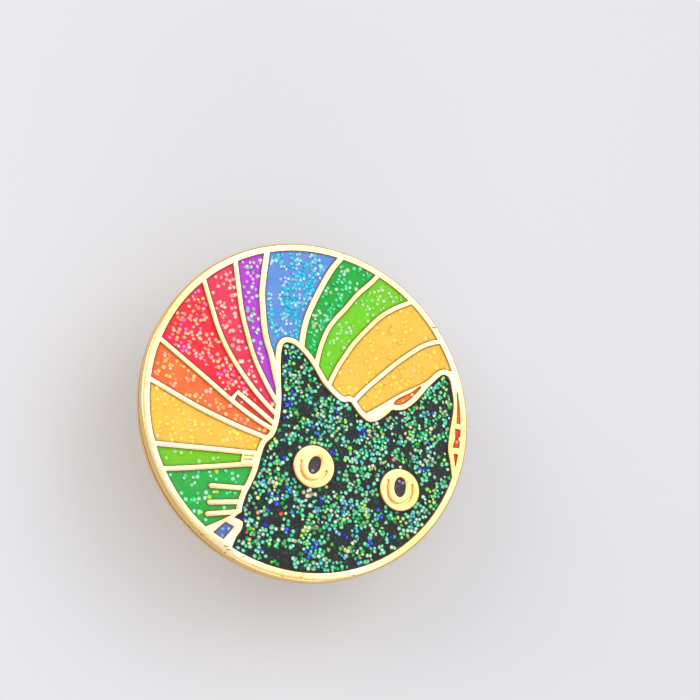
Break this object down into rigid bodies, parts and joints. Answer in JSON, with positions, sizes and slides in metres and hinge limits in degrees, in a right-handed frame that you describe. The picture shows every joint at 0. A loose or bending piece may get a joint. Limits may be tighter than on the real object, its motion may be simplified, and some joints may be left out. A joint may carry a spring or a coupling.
{
  "type": "enamel pin",
  "caption": "Round enamel pin with a black glitter cat before a fan of coloured rays, a welded post and a butterfly clutch.",
  "frame": {"origin": "centre of the back lip's plane, on the axis of the post", "axes": "+Z out of the face, +Y up the picture, so +X runs to its right; the post points along -Z"},
  "size_m": [0.0254, 0.0254, 0.0095],
  "materials": {
    "gold_plate": "polished and gold plated, sandblasted on the back",
    "gold_post": "drawn wire, gold plated",
    "clutch_gold": "bright gold plated sheet",
    "black_glitter_enamel": "hardened glitter enamel under a clear coat",
    "pupil_glitter_enamel": "hardened glitter enamel under a clear coat",
    "yellow_glitter_enamel": "hardened glitter enamel under a clear coat",
    "orange_glitter_enamel": "hardened glitter enamel under a clear coat",
    "red_glitter_enamel": "hardened glitter enamel under a clear coat",
    "rose_glitter_enamel": "hardened glitter enamel under a clear coat",
    "purple_glitter_enamel": "hardened glitter enamel under a clear coat",
    "blue_glitter_enamel": "hardened glitter enamel under a clear coat",
    "green_glitter_enamel": "hardened glitter enamel under a clear coat",
    "lime_glitter_enamel": "hardened glitter enamel under a clear coat"
  },
  "bodies": {
    "pin": {"pin_body": "gold_plate", "enamel_cat": "black_glitter_enamel", "enamel_pupil_left": "pupil_glitter_enamel", "enamel_pupil_right": "pupil_glitter_enamel", "enamel_yellow_left": "yellow_glitter_enamel", "enamel_yellow_upper": "yellow_glitter_enamel", "enamel_yellow_lower": "yellow_glitter_enamel", "enamel_orange_left": "orange_glitter_enamel", "enamel_orange_sliver": "orange_glitter_enamel", "enamel_orange_wedge": "orange_glitter_enamel", "enamel_red_step": "red_glitter_enamel", "enamel_red": "red_glitter_enamel", "enamel_red_hourglass": "red_glitter_enamel", "enamel_red_triangle": "red_glitter_enamel", "enamel_rose": "rose_glitter_enamel", "enamel_purple": "purple_glitter_enamel", "enamel_blue": "blue_glitter_enamel", "enamel_blue_tag": "blue_glitter_enamel", "enamel_green_right": "green_glitter_enamel", "enamel_green_left": "green_glitter_enamel", "enamel_lime_right": "lime_glitter_enamel", "enamel_lime_left": "lime_glitter_enamel", "post": "gold_post", "braze_ring": "gold_plate"},
    "cap": {"clutch_cap": "clutch_gold"},
    "strip": {"clutch_strip": "clutch_gold"},
    "left_wing": {"wing_left": "clutch_gold"},
    "right_wing": {"wing_right": "clutch_gold"}
  },
  "joints": [
    {"name": "clutch_slide", "type": "slide", "parent": "pin", "child": "cap", "axis": [0, 0, -1], "range_m": [0, 0.01]},
    {"name": "clutch_turn", "type": "hinge", "parent": "cap", "child": "strip", "pos_m": [0, 0, 0], "axis": [0, 0, 1], "continuous": true},
    {"name": "left_wing_pinch", "type": "hinge", "parent": "strip", "child": "left_wing", "pos_m": [-0.00361, 0, -0.00236], "axis": [0, 1, 0], "range_deg": [-6, 0], "stiffness_Nm_per_rad": 0.002},
    {"name": "right_wing_pinch", "type": "hinge", "parent": "strip", "child": "right_wing", "pos_m": [0.00361, 0, -0.00236], "axis": [0, 1, 0], "range_deg": [0, 6], "stiffness_Nm_per_rad": 0.002}
  ],
  "couplings": [
    {"joint": "right_wing_pinch", "follows": "left_wing_pinch", "ratio": -1}
  ]
}
